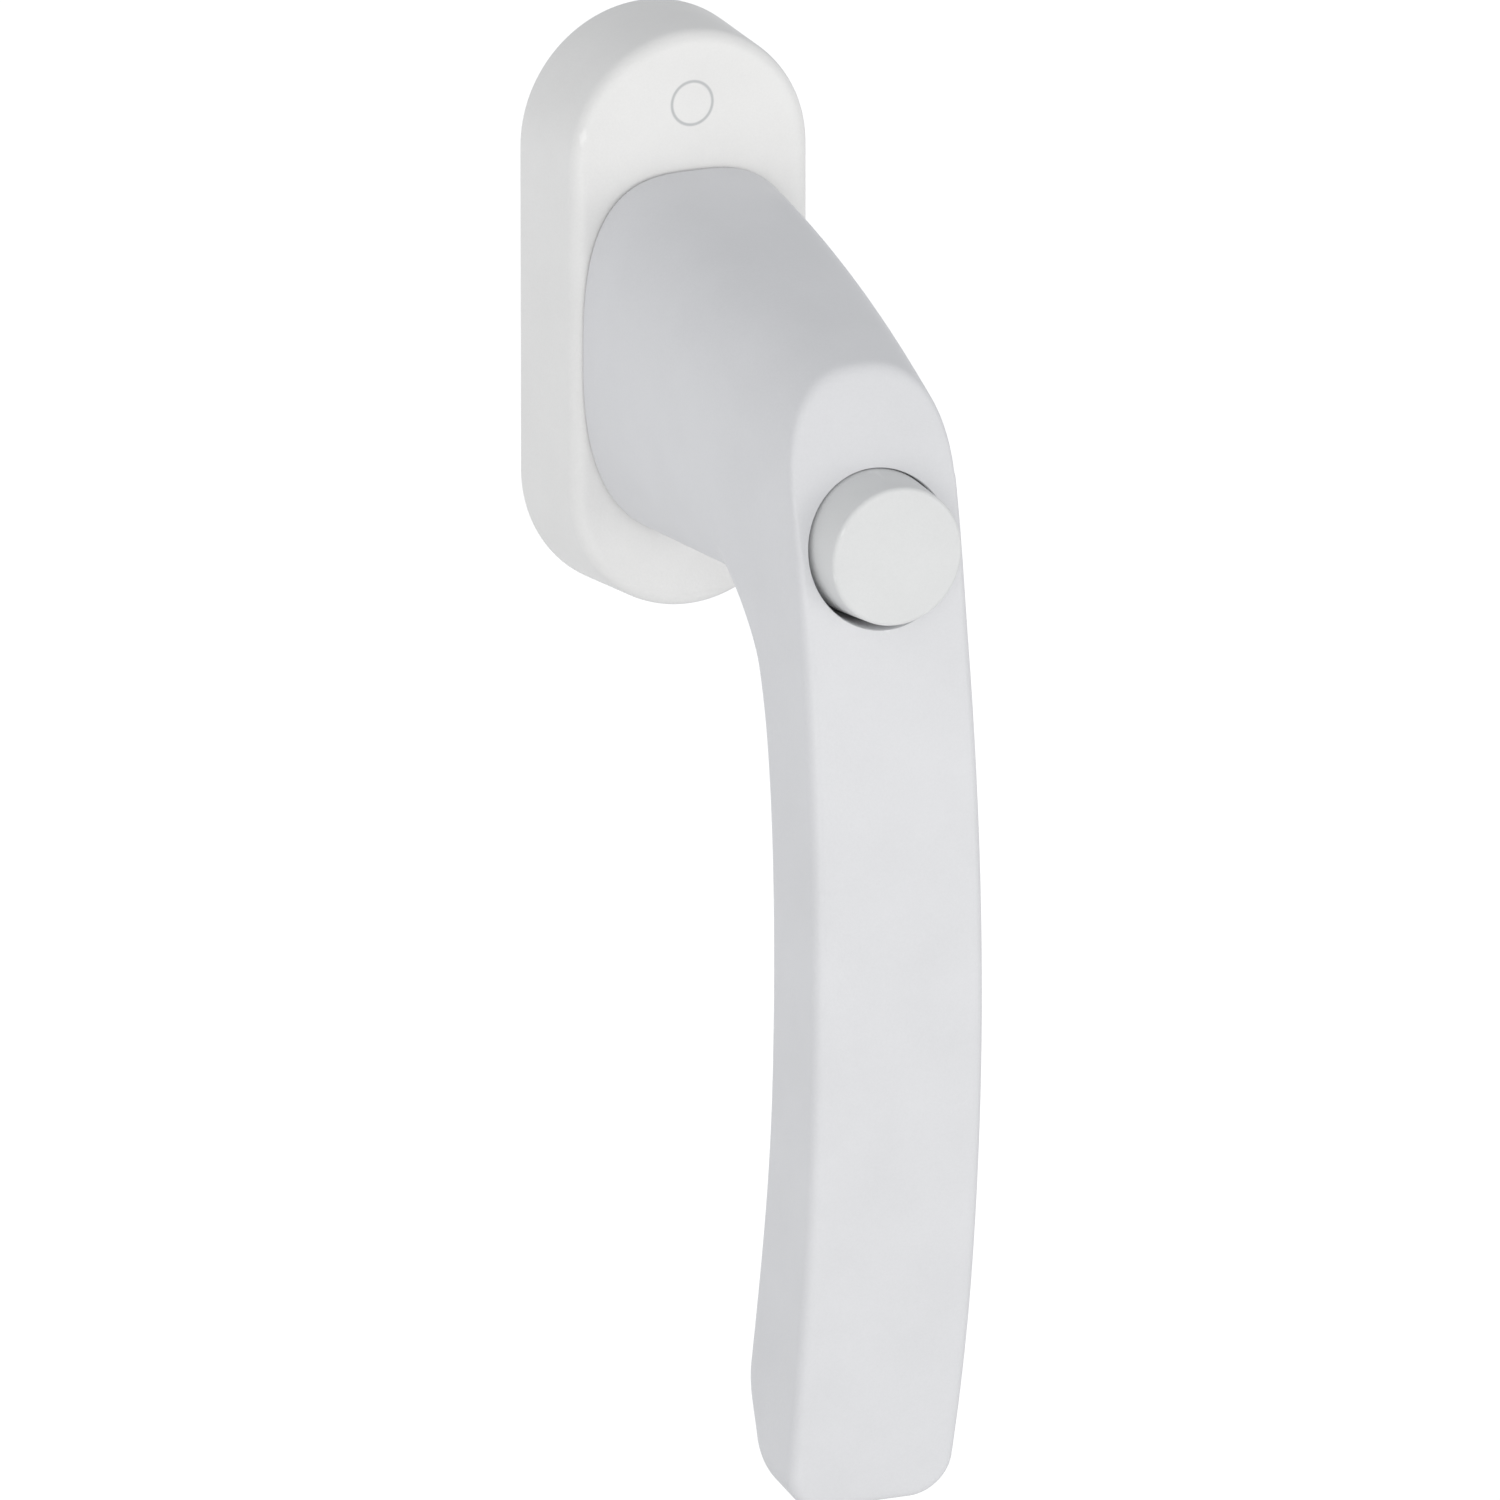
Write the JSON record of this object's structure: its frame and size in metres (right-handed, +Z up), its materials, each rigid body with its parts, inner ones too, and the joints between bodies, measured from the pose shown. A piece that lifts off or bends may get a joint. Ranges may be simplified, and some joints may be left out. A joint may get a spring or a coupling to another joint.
{
  "type": "tilt turn window handle",
  "caption": "Window handle with a slot-shaped rosette, an oblique neck, a bowed flat-fronted grip hanging down and a round locking push button in its head.",
  "frame": {"origin": "spindle axis on the wall plane, midway between the fixing screws", "axes": "-Y into the room along the spindle axis, +Z up, +X to the right seen from the room; the lever hangs down in the closed position"},
  "size_m": [0.03, 0.0869, 0.1573],
  "materials": {
    "white_powder_coat": "white powder coat, satin, very fine texture",
    "white_cap": "white powder coat, satin",
    "zinc": "die-cast zinc, dull grey",
    "zinc_steel": "zinc-plated steel",
    "steel": "drawn steel",
    "spring_steel": "spring steel",
    "bronze": "sintered bronze",
    "pom_natural": "acetal, natural",
    "pom_grey": "acetal, grey"
  },
  "bodies": {
    "rosette": {"rosette_cover": "white_powder_coat", "rosette_base": "zinc", "cover_clips": "spring_steel", "lock_ring": "steel", "ring_rivets": "steel", "neck_bush": "pom_grey", "fixing_screws": "zinc_steel", "detent_balls": "steel", "detent_springs": "spring_steel"},
    "handle": {"lever": "white_powder_coat", "square_spindle": "zinc_steel", "spindle_pin": "spring_steel", "detent_disc": "steel", "wave_washer": "spring_steel", "circlip": "spring_steel", "glide_ring": "pom_natural", "pin_bush": "bronze", "button_guide": "pom_grey", "button_spring": "spring_steel"},
    "button": {"push_button": "white_cap", "plunger": "pom_grey", "plunger_clip": "spring_steel", "lock_pin": "steel"}
  },
  "joints": [
    {"name": "handle_turn", "type": "hinge", "parent": "rosette", "child": "handle", "pos_m": [0, 0, 0], "axis": [0, -1, 0], "range_deg": [0, 180]},
    {"name": "button_press", "type": "slide", "parent": "handle", "child": "button", "axis": [0, 1, 0], "range_m": [0, 0.0032], "stiffness_N_per_m": 900, "springref_m": -0.0015, "deforming": ["button_spring"]}
  ]
}
